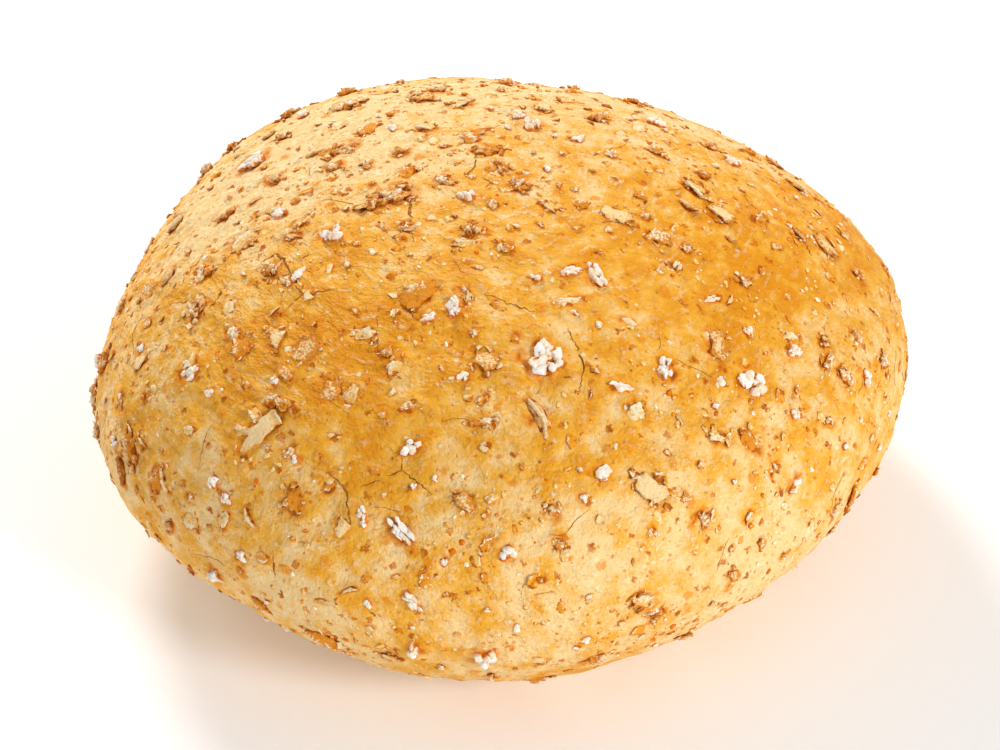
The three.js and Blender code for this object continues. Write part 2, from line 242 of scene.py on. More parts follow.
# %% Pieces that stand out: bearing, tilt, turn, length, width, height
LANDMARKS = {
    "popped": (
        (278, 56, 80, 6.0, 5.2, 1.7), (291, 70, 10, 3.6, 2.0, 1.1), (299, 68, 108, 5.2, 2.5, 1.5),
        (278, 70, 0, 2.0, 1.6, 0.9), (292, 49, 178, 4.0, 1.7, 0.8), (317, 39, 70, 5.0, 4.6, 1.7),
        (255, 39, 20, 3.1, 2.7, 1.0), (285, 35, 60, 2.8, 2.6, 1.2), (282, 31, 100, 1.7, 1.5, 0.8),
        (251, 25, 110, 3.2, 1.7, 1.0), (257, 24, 128, 5.6, 2.4, 1.3), (235, 8, 150, 2.3, 1.9, 1.0),
        (230, 18, 130, 2.6, 1.6, 0.9), (260, 10, 140, 4.0, 2.0, 1.2), (324, 55, 20, 3.0, 1.4, 0.9),
        (87, 74, 0, 2.8, 2.3, 1.2), (47, 77, 30, 2.4, 2.2, 1.0), (45, 58, 150, 4.0, 2.6, 1.3),
        (24, 54, 160, 3.6, 2.4, 1.2), (321, 29, 90, 2.0, 1.6, 1.0), (316, 16, 40, 2.8, 1.9, 1.1),
        (338, 23, 100, 2.8, 2.0, 1.2), (211, 33, 160, 3.8, 3.2, 1.2), (209, 57, 60, 2.8, 1.8, 1.0),
        (156, 47, 25, 5.8, 4.0, 1.4), (182, 57, 170, 3.2, 2.2, 1.1),
    ),
    "chunk": (
        (192, 74, 20, 6.0, 4.2, 1.5), (130, 53, 25, 5.0, 3.4, 1.6), (154, 64, 10, 4.6, 3.4, 1.2),
        (120, 84, 0, 4.0, 2.8, 0.9), (121, 42, 0, 3.6, 2.6, 2.2), (149, 29, 60, 3.4, 2.6, 2.4),
        (131, 36, 35, 4.2, 2.6, 1.8), (109, 58, 170, 3.8, 2.4, 1.5), (90, 50, 0, 3.0, 2.3, 1.9),
        (75, 43, 0, 2.9, 2.1, 1.8), (32, 43, 150, 2.9, 2.1, 1.6), (191, 5, 80, 4.0, 2.6, 1.9),
        (197, 3, 70, 3.6, 2.4, 1.7), (181, 20, 60, 3.2, 2.2, 1.4), (252, 46, 175, 2.9, 1.5, 0.8),
        (266, 45, 10, 3.6, 2.0, 0.9), (336, 35, 150, 2.6, 1.9, 1.1), (334, 27, 130, 3.6, 2.4, 1.3),
        (335, 53, 150, 3.2, 2.0, 1.0),
    ),
    "flake": (
        (141, 65, 55, 3.9, 2.2, 1.1), (130, 73, 160, 3.0, 2.2, 1.0), (170, 76, 50, 3.2, 2.0, 0.8),
        (118, 52, 10, 3.2, 2.0, 1.3), (59, 47, 160, 3.8, 2.2, 1.3), (4, 66, 130, 4.4, 2.4, 1.2),
        (25, 69, 150, 3.2, 2.2, 1.0), (306, 34, 170, 3.4, 1.8, 0.9), (19, 40, 145, 4.6, 2.6, 1.4),
        (293, 44, 10, 2.6, 2.6, 0.6), (248, -7, 165, 5.0, 2.2, 1.3), (238, -5, 145, 2.4, 1.8, 1.0),
        (330, 0, 60, 3.8, 2.0, 1.4),
    ),
    "kernel": (
        (276, 46, 115, 6.0, 2.2, 1.3), (169, 34, 45, 3.4, 1.7, 1.3), (175, 47, 40, 3.6, 1.6, 1.1),
        (186, 36, 60, 3.2, 1.8, 1.1), (209, 6, 115, 4.2, 1.8, 1.4),
    ),
    "oat": (
        (230, 32, 45, 7.2, 3.0, 1.0), (237, 44, 60, 3.4, 3.0, 0.7), (241, 45, 50, 2.8, 2.2, 0.6),
        (265, 56, 150, 3.4, 3.2, 0.6), (265, 31, 125, 2.9, 2.0, 0.7), (316, 48, 100, 4.6, 3.0, 1.0),
        (332, 75, 170, 4.4, 3.4, 0.8), (354, 62, 160, 4.2, 2.8, 0.8), (292, 30, 150, 5.0, 2.9, 0.8),
    ),
}
print("landmarks:", {kind: len(rows) for kind, rows in LANDMARKS.items()})

# %% An even spiral over the crust
GOLDEN_ANGLE = 180 * (3 - math.sqrt(5))


def make_spread():
    """Tilts from the crown down, and the share of the crust that lies above each."""
    tilts = np.arange(90, SCATTER_LOWEST, -1)
    upper = smooth_bun(direction(np.zeros(len(tilts)), tilts))
    lower = smooth_bun(direction(np.zeros(len(tilts)), tilts - 1))
    middle = (upper + lower) / 2
    radius = np.hypot(middle[:, 0] - CENTRE[0], middle[:, 1])
    area = np.cumsum(radius * np.linalg.norm(upper - lower, axis=1))
    return tilts - 0.5, area / area[-1]


SPREAD_TILTS, SPREAD_SHARES = make_spread()


def spiral_way(index, count, stray, draw):
    """The direction of one of many pieces that are spread evenly, and a little off its place."""
    step = np.searchsorted(SPREAD_SHARES, (index + 0.5) / count)
    way = direction(GOLDEN_ANGLE * index, SPREAD_TILTS[step])
    return unit(way + (np.array([draw(), draw(), draw()]) - 0.5) * 4 * stray / WIDTH)


# %% The landmarks, then the spiral
def pick_kind(pick):
    total = 0
    for name, (share, *_) in KINDS.items():
        total += share
        if pick <= total:
            return name
    return "popped"


def bun_point(way):
    return smooth_bun(way[None])[0]


def place_pieces():
    """Every piece as kind, direction, turn in degrees and size, in the order of the CAD source."""
    draw = make_draw(PLACING_SEED)
    pieces = [
        {"kind": kind, "way": direction(bearing, tilt), "turn": turn, "size": np.array(size) * MM}
        for kind, rows in LANDMARKS.items()
        for bearing, tilt, turn, *size in rows
    ]
    marks = np.array([bun_point(piece["way"]) for piece in pieces])
    lengths = np.array([piece["size"][0] for piece in pieces])
    for index in range(SCATTER_COUNT):
        way = spiral_way(index, SCATTER_COUNT, SCATTER_JITTER, draw)
        kind = pick_kind(draw())
        length = between(SCATTER_LENGTH, draw() ** SCATTER_FALL)
        turn = 360 * draw()
        slim = between(SCATTER_SLIMNESS, draw())
        room = np.linalg.norm(marks - bun_point(way), axis=1) - (lengths + length) * CROWDING
        if room.min() < 0:
            continue
        _, width, height, _ = KINDS[kind]
        size = np.array((length, length * width * slim, length * height))
        pieces.append({"kind": kind, "way": way, "turn": turn, "size": size})
    return pieces


pieces = place_pieces()
print("pieces that the CAD part has too:", len(pieces))


# %% How a piece stands on the crust
def standing(ways, turns):
    """For each direction, three rows: along the piece, across it and out of the crust."""
    out = bun_normal(ways)
    along = unit(np.array((1.0, 0, 0)) - out * out[:, :1])
    side = np.cross(out, along)
    turn = np.radians(turns)[:, None]
    along = along * np.cos(turn) + side * np.sin(turn)
    return np.stack([along, np.cross(out, along), out], 1)


# %% [markdown]
# ## The crust as an even net
# The crust carries relief all over, so its net has to be even: a ball with poles would crowd
# its points at the crown. A cube blown up to a ball has no poles. Its points become directions,
# and the formulas above put each one on the bun.

# %% Net
CUTS = 128


def ball_net(cuts):
    """An even net of four-sided faces over a ball, as directions and rows of four corners."""
    steps = np.tan(np.linspace(-math.pi / 4, math.pi / 4, cuts + 1))
    a, b = np.meshgrid(steps, steps, indexing="ij")
    one = np.ones_like(a)
    sides = ((one, a, b), (-one, -a, b), (-a, one, b), (a, -one, b), (-b, a, one), (b, a, -one))
    ways = unit(np.concatenate([np.stack(side, -1).reshape(-1, 3) for side in sides]))
    index = np.arange(len(ways)).reshape(6, cuts + 1, cuts + 1)
    corners = [index[:, :-1, :-1], index[:, 1:, :-1], index[:, 1:, 1:], index[:, :-1, 1:]]
    faces = np.stack(corners, -1).reshape(-1, 4)
    _, first, merged = np.unique(np.round(ways, 6), axis=0, return_index=True, return_inverse=True)
    return ways[first], merged.reshape(-1)[faces]


net_ways, net_faces = ball_net(CUTS)
net_points = crust_points(net_ways)
net_out = bun_normal(net_ways)
print("net:", len(net_faces), "faces; box in mm:", np.round(np.ptp(net_points, axis=0) / MM, 1))

# %% [markdown]
# ## Smaller pieces that only the looks have
# The CAD part has the largest pieces. These are the next ones that catch the eye in the photo.
# Each is named by its pixel, and a ray from the camera through that pixel finds its place. Its
# size is in millimetres.

# %% Further pieces: pixel, turn, length, width, height
SMALLER = {
    "flake": (
        (419, 297, 20, 5.8, 3.6, 1.5), (572, 304, 15, 4.2, 1.6, 0.8), (426, 578, 70, 3.2, 1.6, 0.8),
        (245, 243, 40, 5.0, 2.4, 1.1), (487, 545, 30, 2.6, 1.8, 0.7), (160, 483, 60, 4.4, 2.6, 0.9),
        (262, 213, 20, 4.2, 1.8, 0.9), (296, 236, 150, 3.0, 2.0, 0.8), (800, 236, 140, 3.4, 1.6, 0.9),
        (131, 445, 100, 4.6, 2.0, 1.2), (468, 245, 10, 3.4, 1.6, 0.8), (720, 375, 60, 2.4, 1.8, 0.8),
    ),
    "chunk": (
        (469, 293, 80, 3.4, 2.4, 1.4), (234, 333, 100, 3.6, 2.4, 1.4), (444, 181, 150, 3.6, 2.2, 1.1),
        (526, 187, 20, 3.4, 2.2, 1.2), (703, 520, 60, 3.2, 2.4, 1.0), (828, 362, 60, 3.0, 2.0, 1.1),
        (288, 281, 120, 3.2, 2.2, 1.2), (406, 228, 10, 3.0, 2.2, 1.1), (560, 545, 0, 2.4, 1.8, 0.9),
        (655, 610, 20, 2.6, 1.8, 0.9), (292, 452, 60, 2.4, 1.8, 0.8), (385, 355, 40, 2.6, 1.8, 0.9),
    ),
    "oat": (
        (308, 353, 30, 4.2, 3.0, 1.3), (826, 246, 140, 4.4, 3.4, 1.0), (288, 371, 100, 2.8, 2.2, 1.0),
    ),
    "popped": (
        (428, 317, 20, 2.8, 1.7, 1.1), (467, 377, 20, 2.2, 1.7, 0.9), (194, 372, 80, 2.4, 2.0, 1.2),
        (140, 350, 60, 2.0, 1.8, 0.8), (585, 640, 0, 2.0, 1.4, 0.7), (518, 628, 0, 1.6, 1.4, 0.7),
        (368, 605, 70, 1.8, 1.4, 0.8), (445, 563, 0, 1.6, 1.4, 0.7),
    ),
}
bun_tree = BVHTree.FromPolygons(net_points.tolist(), net_faces.tolist())


def seen_at(tree, x, y):
    """The point that shows at one pixel of the picture, and the number of its face."""
    spot, _, face, _ = tree.ray_cast(camera_place, pixel_ray(x, y))
    return np.array(spot), face


for kind, rows in SMALLER.items():
    for x, y, turn, *size in rows:
        _, face = seen_at(bun_tree, x, y)
        way = unit(net_ways[net_faces[face]].mean(0))
        pieces.append({"kind": kind, "way": way, "turn": turn, "size": np.array(size) * MM})
piece_ways = np.array([piece["way"] for piece in pieces])
piece_axes = standing(piece_ways, np.array([piece["turn"] for piece in pieces]))
piece_roots = crust_points(piece_ways)
print("pieces in all:", len(pieces))

# %% [markdown]
# ## Relief
# Close up, a crust is never smooth. It has soft swellings a few millimetres wide, fine wrinkles
# where the skin dried, and a little trough with a raised rim round every piece that is baked in.
# These forms are wide enough to be real geometry. Finer ones are left to the finish.

# %% Soft swellings, folds and wrinkles
SWELLING_SIZE = 6.5 * MM
SWELLING_HEIGHT = 0.3 * MM
CREASE_SIZE = np.array((7, 7, 1.5)) * MM
CREASE_HEIGHT = 0.4 * MM
CREASE_SIDE = (130, 40)
CREASE_LEAST = 0.35
CREASE_EDGE = 1.5
WRINKLE_SIZE = 2.0 * MM
WRINKLE_HEIGHT = 0.22 * MM
# how much weaker, and how many times finer, each further octave of the noise is
OCTAVE_FALL = 0.8
OCTAVE_GAP = 2.0


def noise_at(points, size, octaves=2, shift=0.0):
    """Soft noise between about -1 and 1, with forms as large as size."""
    places = (points / size + shift).tolist()
    return np.array([noise.fractal(place, OCTAVE_FALL, OCTAVE_GAP, octaves) for place in places])


swellings = noise_at(net_points, SWELLING_SIZE, 2) * SWELLING_HEIGHT
# creases run round the bun: noise squeezed along the way from the crown to the belt
run = net_points.copy()
run[:, 2] = np.hypot(run[:, 0], run[:, 1]) - run[:, 2]
# they are deepest on the side where the dough was pulled most
pull = np.clip(net_ways @ direction(*CREASE_SIDE) * CREASE_EDGE, 0, 1)
creased = CREASE_LEAST + (1 - CREASE_LEAST) * pull
folds = -np.abs(noise_at(run, CREASE_SIZE, 3, shift=3.1)) * CREASE_HEIGHT * creased
wrinkles = -np.abs(noise_at(net_points, WRINKLE_SIZE, 2, shift=7.3)) * WRINKLE_HEIGHT
relief = swellings + folds + wrinkles

# %% Troughs and rims round the pieces, and stains with painted shade beside them
# where troughs, rims, and stains with their painted shade lie is given as a share of the piece's own
# reach
TROUGH_DEPTH = 0.16 * MM
TROUGH_AT, TROUGH_BREADTH = 1.1, 0.2
RIM_HEIGHT = 0.24 * MM
RIM_AT, RIM_BREADTH = 1.3, 0.45
RIM_REACH = 2.2
RIM_FULL = 0.8 * MM
STAIN_AND_SHADE_REACH = 1.7
STAIN_AND_SHADE_STRENGTH = {"flake": 1.0, "chunk": 1.0, "kernel": 0.9, "oat": 0.8, "popped": 0.7}
# the stain is shifted towards the side that flakes and husk lift, so that its dark core paints the shade
# under that raised edge
STAIN_AND_SHADE_DRIFT = 0.4
STAIN_AND_SHADE_SIZE = 1.2 * MM
STAIN_AND_SHADE_LEVEL = 0.6
stain = np.zeros(len(net_points))
ragged = STAIN_AND_SHADE_LEVEL + noise_at(net_points, STAIN_AND_SHADE_SIZE, 3, shift=5.7)
finder = kdtree.KDTree(len(net_points))
for index, point in enumerate(net_points.tolist()):
    finder.insert(point, index)
finder.balance()
for piece, axes, root in zip(pieces, piece_axes, piece_roots):
    length, width, height = piece["size"]
    reach = max(length, width) / 2 * RIM_REACH
    near = [index for _, index, _ in finder.find_range(root, reach)]
    if not near:
        continue
    local = (net_points[near] - root) @ axes.T
    ring = np.hypot(local[:, 0] / length, local[:, 1] / width) * 2
    strength = min(height / RIM_FULL, 1)
    trough = bell(ring, TROUGH_AT, TROUGH_BREADTH) * TROUGH_DEPTH
    rim = bell(ring, RIM_AT, RIM_BREADTH) * RIM_HEIGHT
    relief[near] += (rim - trough) * strength
    aside = np.hypot(local[:, 0] / length, local[:, 1] / width - STAIN_AND_SHADE_DRIFT / 2) * 2
    # a stain of browned dough, whose darkest middle by the piece is painted shade
    patch = np.clip(STAIN_AND_SHADE_REACH - aside, 0, 1) * ragged[near] * STAIN_AND_SHADE_STRENGTH[piece["kind"]]
    stain[near] = np.maximum(stain[near], patch)
fade = np.clip(net_points[:, 2] / WAVE_FADE, 0, 1)
net_points = net_points + net_out * (relief * fade)[:, None]
net_points[:, 2] = np.maximum(net_points[:, 2], 0)
crust_tree = BVHTree.FromPolygons(net_points.tolist(), net_faces.tolist())
print("relief in mm:", np.round(np.percentile(relief, [0, 5, 50, 95, 100]) / MM, 2))

# %% [markdown]
# ## How far the oven went, with painted sheen and shade
# The oven browns a roll unevenly: most on the crown, least low on the sides. The broad patches
# that show in the photo are named by pixel, reach in millimetres, and how much darker or paler
# they are. The pale ones high on the crown partly paint the sheen where the back lamp grazes the
# crust, and the deep one far on the left partly paints shade. Each point of the crust keeps the
# sum as one number, which the finish reads.

# %% Baked and pale patches, some of them partly painted sheen and shade
BAKE_LEVEL = 0.6
BAKE_RISE = 0.08
# pixel, reach in millimetres and amount; the pale rows along the crown's top partly paint sheen, and the
# deep row at pixel (190, 360) partly paints shade
PATCHES = (
    (650, 275, 15, 0.4), (560, 240, 11, 0.15), (760, 270, 14, 0.55), (345, 365, 14, 0.4),
    (455, 170, 11, 0.1), (255, 265, 11, 0.15), (350, 465, 13, 0.25), (190, 360, 12, 0.45),
    (560, 400, 11, -0.1), (850, 350, 9, -0.15), (660, 400, 10, 0.25), (450, 265, 11, 0.1),
    (225, 190, 14, -0.6), (328, 140, 17, -1.2), (510, 84, 16, -1.0), (660, 110, 13, -0.5),
    (790, 470, 14, -0.2), (650, 590, 15, -0.2), (750, 570, 12, -0.3), (250, 545, 13, -0.35),
    (450, 350, 10, 0.15), (850, 250, 11, 0.5), (430, 570, 12, 0.1), (400, 290, 11, 0.2),
)
# on the side that the photo leaves out: bearing, tilt, reach in millimetres, amount
HIDDEN_PATCHES = (
    (60, 25, 15, 0.5), (100, 40, 13, 0.35), (125, 5, 15, 0.45), (35, -5, 13, 0.4), (85, -2, 12, -0.3),
    (160, 15, 12, 0.3),
)
middles = [(seen_at(crust_tree, x, y)[0], *rest) for x, y, *rest in PATCHES]
middles += [(bun_point(direction(bearing, tilt)), *rest) for bearing, tilt, *rest in HIDDEN_PATCHES]
bake = BAKE_LEVEL + BAKE_RISE * (net_points[:, 2] / HEIGHT * 2 - 1)
for middle, reach, amount in middles:
    away = np.linalg.norm(net_points - middle, axis=1)
    bake += amount * bell(away, 0, reach * MM)
print("bake runs from", round(bake.min(), 2), "to", round(bake.max(), 2))


# %% Turn arrays into a mesh
def add_mesh(name, points, faces, **fields):
    """A smooth-shaded mesh object, with one number per point for each named field."""
    mesh = bpy.data.meshes.new(name)
    mesh.from_pydata(points.tolist(), [], faces.tolist())
    mesh.shade_smooth()
    for field, values in fields.items():
        mesh.attributes.new(field, "FLOAT", "POINT").data.foreach_set("value", values.astype(np.float32))
    thing = bpy.data.objects.new(name, mesh)
    bpy.context.scene.collection.objects.link(thing)
    print(f"{name}: {len(points)} points, {len(faces)} faces")
    return thing


crust = add_mesh("crust", net_points, net_faces, stain=stain, bake=bake, creased=creased)

# %% [markdown]
# ## The pieces, moulded from balls
# Bran, cracked grain and popped grain differ in form, yet each can be pressed out of a ball:
# stretched, cut flat by a few planes, bent or roughened. One mesh holds all pieces of a kind.
# Two numbers go with each point: a tone for the whole piece, and how far the point lies above
# the crust, since low parts and pits are browner than high ones: partly real browning, partly painted
# shade.

# %% Balls
def unit_ball(level):
    """A ball of triangles, finer with each level, as points and rows of three corners."""
    shape = bmesh.new()
    bmesh.ops.create_icosphere(shape, subdivisions=level, radius=1)
    points = np.array([vert.co for vert in shape.verts])
    faces = np.array([[vert.index for vert in face.verts] for face in shape.faces])
    shape.free()
    return points, faces


BALLS = {level: unit_ball(level) for level in (1, 2, 3, 4)}
FINE = 1.25 * MM
LARGE = 3.0 * MM
print("faces of each ball:", {level: len(faces) for level, (_, faces) in BALLS.items()})


def ball_for(length):
    """A ball whose faces are fine enough for a lump of this length."""
    if length > LARGE:
        return BALLS[4]
    return BALLS[3] if length > FINE else BALLS[2]


# %% Ways to work a lump
NOISE_SHIFTS = 90


def cut(points, way, depth):
    """Cuts a lump flat: what lies beyond a plane is pressed back onto it."""
    beyond = np.maximum(points @ way - depth, 0)
    return points - beyond[:, None] * way


def own_noise(points, chance, size, octaves=2):
    """Soft noise that is different for each piece."""
    return noise_at(points, size, octaves, chance.uniform(0, NOISE_SHIFTS))


def roughen(points, chance, amount, size, octaves=2):
    """Moves each point in or out by soft noise."""
    return points * (1 + amount * own_noise(points, chance, size, octaves))[:, None]


def fill_box(points):
    """Stretches a lump until it fills the box from -1 to 1."""
    low = points.min(0)
    high = points.max(0)
    return (points - (low + high) / 2) / ((high - low) / 2)


# %% A heap: all the pieces of a kind in one mesh
class Heap:
    """Many small pieces of one kind, gathered into a single mesh.

    Pits count as low, so that they turn brown, which paints shade into them. With pitting under 0, the
    rim does instead.
    Foot is the lift at the height of the crust.
    """

    def __init__(self, name, pitting, foot):
        self.name = name
        self.pitting = pitting
        self.foot = foot
        self.points = []
        self.faces = []
        self.tones = []
        self.lifts = []
        self.count = 0

    def add(self, points, faces, size, root, axes, tone, rise=0.0):
        """Adds a lump that fills the box from -1 to 1, at its size, place and turn."""
        local = points * size / 2
        local[:, 2] += size[2] * rise
        self.points.append(root + local @ axes)
        self.faces.append(faces + self.count)
        self.tones.append(np.full(len(points), tone))
        reach = np.linalg.norm(points, axis=1)
        open_share = (reach - reach.min()) / np.ptp(reach)
        level = np.clip(self.foot + local[:, 2] / (size[2] * (0.5 + rise)), 0, 1)
        # painted shade: pits count as low, so that the finish browns them
        covered = (1 - open_share) * self.pitting if self.pitting > 0 else -self.pitting * open_share**3
        self.lifts.append(level * (1 - covered))
        self.count += len(points)

    def build(self):
        fields = {"tone": np.concatenate(self.tones), "lift": np.concatenate(self.lifts)}
        return add_mesh(self.name, np.concatenate(self.points), np.concatenate(self.faces), **fields)


# %% Flat sides all round, and plates with a broken edge
# the numbers in these and in the moulds are shares of a ball's radius
CUTS_ALL_ROUND = 6
EDGES = 5
EDGE_STRAY = 0.3
EDGE_DEPTH = (0.5, 0.95)


def cuts_for(chance, span):
    """Pairs of a way and a depth, for flat sides all round a lump."""
    ways = unit(chance.normal(size=(CUTS_ALL_ROUND, 3)))
    return zip(ways, chance.uniform(*span, CUTS_ALL_ROUND))


def plate(points, chance, thickness):
    """A flat piece whose edge is a polygon, with sides that are evenly spread and a little off."""
    turns = (np.arange(EDGES) + chance.uniform(-EDGE_STRAY, EDGE_STRAY, EDGES)) * 2 * math.pi / EDGES
    points = points.copy()
    points[:, 2] = np.clip(points[:, 2] * thickness, -1, 1)
    for turn, depth in zip(turns, chance.uniform(*EDGE_DEPTH, EDGES)):
        points = cut(points, np.array((math.cos(turn), math.sin(turn), 0)), depth)
    return points


# %% Moulds for crumbs of grain and scraps of bran
CRUMB_CUTS = (0.4, 0.8)
CRUMB_CORE = 0.8
CRUMB_PITS = 0.5
FLAKE_RAGGEDNESS = 0.4
FLAKE_THINNESS = 0.3
FLAKE_TILT = (0.2, 0.6)
FLAKE_BEND = 0.5
FLAKE_CURL = 0.5


def mould_crumb(points, chance):
    """A broken crumb: a lump with a few flat sides, rough all over."""
    for way, depth in cuts_for(chance, CRUMB_CUTS):
        points = cut(points, way, depth)
    points = roughen(points, chance, amount=0.6, size=0.6, octaves=4)
    pits = np.abs(own_noise(points, chance, size=0.35))
    return points * (CRUMB_CORE + CRUMB_PITS * pits)[:, None]


def mould_flake(points, chance):
    """A scrap of bran: a thin ragged sheet, bent down at its ends and curled up along one edge."""
    points = plate(points, chance, thickness=2.2)
    edge = own_noise(points * (1, 1, 0), chance, size=0.5, octaves=3)
    points = points * (1 + FLAKE_RAGGEDNESS * edge)[:, None]
    points[:, 2] *= FLAKE_THINNESS
    points[:, 2] += chance.uniform(*FLAKE_TILT) * points[:, 1] - FLAKE_BEND * points[:, 0] ** 2
    points[:, 2] += FLAKE_CURL * np.maximum(points[:, 1], 0) ** 2
    return roughen(points, chance, amount=0.18, size=0.3, octaves=3)


# %% Moulds for kernels and husk
# height, middle and breadth of the ridge along a kernel's back, and of the crease beside it
KERNEL_RIDGE = (0.5, 0, 0.4)
KERNEL_CREASE = (-0.4, 0.55, 0.1)
KERNEL_SLIMNESS = 0.5
KERNEL_BEND = 0.35
OAT_RAGGEDNESS = 0.24
OAT_THINNESS = 0.35
OAT_TILT = 0.45
# how wide the waist is, how fast an oat widens from there, and how far it lies off the middle
OAT_WAIST = 0.55
OAT_WIDENING = 0.6
OAT_WAIST_STRAY = 0.4
OAT_FOLD = 0.8
OAT_FOLD_AT = 0.1
OAT_CRUMPLE = 0.22


def mould_kernel(points, chance):
    """A whole kernel: a long bent body with a ridge along its back and a crease beside that."""
    points = points.copy()
    above = points[:, 2] > 0
    for height, middle, breadth in (KERNEL_RIDGE, KERNEL_CREASE):
        points[above, 2] += height * bell(points[above, 1], middle, breadth)
    points = roughen(points, chance, amount=0.3, size=0.7, octaves=3)
    points[:, 1] = KERNEL_SLIMNESS * points[:, 1] + KERNEL_BEND * points[:, 0] ** 2
    return points


def mould_oat(points, chance):
    """A rolled flake or a scrap of husk: a stiff sheet with broken edges, a waist and one fold."""
    points = plate(points, chance, thickness=2.4)
    edge = own_noise(points * (1, 1, 0), chance, size=0.6, octaves=3)
    points = points * (1 + OAT_RAGGEDNESS * edge)[:, None]
    waist_at = chance.uniform(-OAT_WAIST_STRAY, OAT_WAIST_STRAY)
    points[:, 1] *= OAT_WAIST + OAT_WIDENING * np.abs(points[:, 0] - waist_at)
    points[:, 2] *= OAT_THINNESS
    fold = direction(chance.uniform(0, 360), 0)
    points[:, 2] += OAT_TILT * points[:, 1] - OAT_FOLD * np.abs(points @ fold - OAT_FOLD_AT)
    points[:, 2] += OAT_CRUMPLE * own_noise(points * (0.6, 1, 0), chance, size=0.35, octaves=3)
    return roughen(points, chance, amount=0.12, size=0.3, octaves=3)


# %% Moulds for popped grain and dust
PUFF_CUTS = (0.4, 0.75)


def mould_puff(points, chance):
    """One puff of popped grain: a rough blob with a few flat sides."""
    points = roughen(points, chance, amount=0.35, size=1.1)
    for way, depth in cuts_for(chance, PUFF_CUTS):
        points = cut(points, way, depth)
    return roughen(points, chance, amount=0.12, size=0.3)


def mould_speck(points, chance):
    """A grain of dust: a small uneven lump."""
    return roughen(points, chance, amount=0.5, size=0.8)


MOULDS = {"flake": mould_flake, "kernel": mould_kernel, "oat": mould_oat}

# %% What sets the kinds apart
FORM_SEED = 90733
SLIMMING = {"kernel": 0.85}
TONE_SHARED = 0.3
TURN_STRAY = 40
FIRST_LOBE = 0.4
LOBE_HEIGHT = (0.55, 1)
# mould, length of crust for each lobe, least number of lobes, and their size
CLUSTERS = {
    "chunk": (mould_crumb, 1.0 * MM, 1, (0.8, 1.35)),
    "popped": (mould_puff, 0.8 * MM, 2, (0.7, 1.25)),
}
chance = np.random.default_rng(FORM_SEED)
# how far pits, whose brown is painted shade, or the rim where the number is under 0, turn brown, and the
# lift at the foot
LIFTS = {
    "flake": (0.4, 0.35),
    "chunk": (0.7, 0.1),
    "kernel": (0.4, 0.1),
    "oat": (-0.8, 0.4),
    "popped": (0.7, 0),
}
heaps = {kind: Heap(kind, *LIFTS[kind]) for kind in KINDS}
RISES = {kind: rise for kind, (_, _, _, rise) in KINDS.items()}


# %% Pieces of one lump or of several
def add_cluster(heap, piece, axes, root, chance):
    """A piece of several lobes, spread over its outline, each with its own size and tone."""
    mould, spacing, least, span = CLUSTERS[piece["kind"]]
    size = piece["size"]
    count = least + round(size[0] / spacing)
    tone = chance.uniform()
    for index in range(count):
        share = min(chance.uniform(*span) / math.sqrt(count), 1)
        turn = GOLDEN_ANGLE * index + chance.uniform(-TURN_STRAY, TURN_STRAY)
        reach = math.sqrt((index + FIRST_LOBE) / count) * (1 - share)
        spin = direction(turn, 0) * reach * size / 2
        ball, faces = ball_for(size[0] * share)
        lobe = fill_box(mould(ball, chance))
        lobe_size = size * (share, share, chance.uniform(*LOBE_HEIGHT))
        lobe_tone = between((chance.uniform(), tone), TONE_SHARED)
        heap.add(lobe, faces, lobe_size, root + spin @ axes, axes, lobe_tone, RISES[piece["kind"]])


for piece, axes, root in zip(pieces, piece_axes, piece_roots):
    kind = piece["kind"]
    if kind in CLUSTERS:
        add_cluster(heaps[kind], piece, axes, root, chance)
        continue
    ball, faces = ball_for(piece["size"][0])
    shape = fill_box(MOULDS[kind](ball, chance))
    size = piece["size"] * (1, SLIMMING.get(kind, 1), 1)
    heaps[kind].add(shape, faces, size, root, axes, chance.uniform(), RISES[kind])


# %% Ragged scraps round the larger pieces
EDGING_LEAST = 2.2 * MM
EDGING_SPACING = 0.6 * MM
EDGING_SIZE = (0.15, 0.42)
EDGING_REACH = (0.42, 0.7)
EDGING_SLIMNESS = (0.4, 0.9)
EDGING_FLATNESS = 0.4
EDGING_BRAN = 0.7
# in radians, almost a whole turn
EDGING_TWIST = 6
EDGED = ("chunk", "flake", "oat")


def add_edging(piece, axes, root, chance):
    """Bits of bran and skin that lean against a piece, so that it looks baked in."""
    count = round(piece["size"][0] / EDGING_SPACING)
    for index in range(count):
        turn = 360 * index / count + chance.uniform(-TURN_STRAY, TURN_STRAY)
        reach = chance.uniform(*EDGING_REACH) * piece["size"]
        spin = direction(turn, 0) * reach
        length = chance.uniform(*EDGING_SIZE) * piece["size"][0]
        size = length * np.array((1, chance.uniform(*EDGING_SLIMNESS), EDGING_FLATNESS))
        twist = np.array(Euler((0, 0, chance.uniform(0, EDGING_TWIST))).to_matrix())
        ball, faces = ball_for(size[0])
        shape = fill_box(mould_flake(ball, chance))
        kind = "flake" if chance.uniform() < EDGING_BRAN else "chunk"
        heaps[kind].add(shape, faces, size, root + spin @ axes, twist @ axes, chance.uniform())


for piece, axes, root in zip(pieces, piece_axes, piece_roots):
    if piece["kind"] in EDGED and piece["size"][0] > EDGING_LEAST:
        add_edging(piece, axes, root, chance)

grain = {kind: heap.build() for kind, heap in heaps.items()}

# %% [markdown]
# ## Specks and dots
# Between the pieces the crust is full of bran dust and crumbs of popped grain, half a millimetre
# or so across. Each is a small lump that is set on the finished crust, at the nearest point.

# %% Specks of bran, dots of popped grain and scraps of thin skin
DRIFT_SIZE = 9 * MM
SPRINKLE_LIFT = (0.4, 0.2)
SPRINKLE_SLIMNESS = (0.5, 1)
